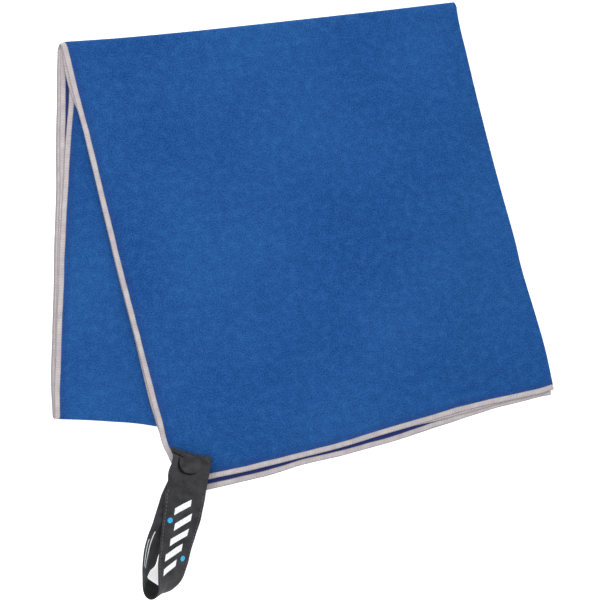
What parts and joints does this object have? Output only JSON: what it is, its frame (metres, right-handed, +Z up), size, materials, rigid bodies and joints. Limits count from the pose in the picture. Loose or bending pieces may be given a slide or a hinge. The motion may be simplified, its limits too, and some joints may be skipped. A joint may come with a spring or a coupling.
{
  "type": "quick dry towel",
  "caption": "Microfibre quick dry towel folded into a flat askew stack, with overlocked edges and a ribbon hang loop that closes with a snap at one corner",
  "frame": {"origin": "middle of the bottom of the bounding box of the whole folded towel with its loop, on the surface that it lies on", "axes": "+X to the right across the towel's width, +Y up the towel towards the top fold, +Z up from the surface through the stack of layers"},
  "size_m": [0.4102, 0.4894, 0.0316],
  "materials": {
    "suede_cloth": "matt blue suede microfibre with a short brushed nap",
    "edging_thread": "pale beige textured overlock thread, ribbed across the edge",
    "strap_ribbon": "charcoal woven nylon ribbon with a slight sheen",
    "strap_thread": "dark grey sewing thread",
    "snap_steel": "plain pressed steel",
    "snap_cap_paint": "dark grey enamelled snap cap"
  },
  "bodies": {
    "back_group": {"towel_cloth_back": "suede_cloth", "edging_back_layer_1": "edging_thread", "edging_back_layer_2": "edging_thread", "edging_back_layer_3": "edging_thread", "edging_back_layer_4": "edging_thread"},
    "front_group": {"towel_cloth_front_outer": "suede_cloth", "towel_cloth_front_inner": "suede_cloth", "edging_front_layer_1": "edging_thread", "edging_front_layer_2": "edging_thread", "edging_front_layer_3": "edging_thread", "edging_front_layer_4": "edging_thread", "strap_sewn_end": "strap_ribbon", "sewn_end_box_stitch": "strap_thread", "snap_stud": "snap_steel", "snap_stud_post": "snap_steel"},
    "hang_loop": {"strap_back_arm": "strap_ribbon", "strap_far_bend": "strap_ribbon", "strap_front_arm": "strap_ribbon"},
    "snap_tab": {"strap_snap_tab": "strap_ribbon", "snap_socket": "snap_steel", "snap_cap": "snap_cap_paint", "tab_end_stitch": "strap_thread"}
  },
  "joints": [
    {"name": "towel_unfold", "type": "hinge", "parent": "back_group", "child": "front_group", "pos_m": [-0.03636, 0.22865, 0.00485], "axis": [-0.9946, -0.1035, 0], "range_deg": [0, 175]},
    {"name": "loop_swing", "type": "hinge", "parent": "front_group", "child": "hang_loop", "pos_m": [-0.09508, -0.15571, 0.0149], "axis": [-0.9848, 0.1736, 0], "range_deg": [0, 160]},
    {"name": "snap_open", "type": "hinge", "parent": "front_group", "child": "snap_tab", "pos_m": [-0.09508, -0.15571, 0.0149], "axis": [0.9848, -0.1736, 0], "range_deg": [0, 120]}
  ]
}
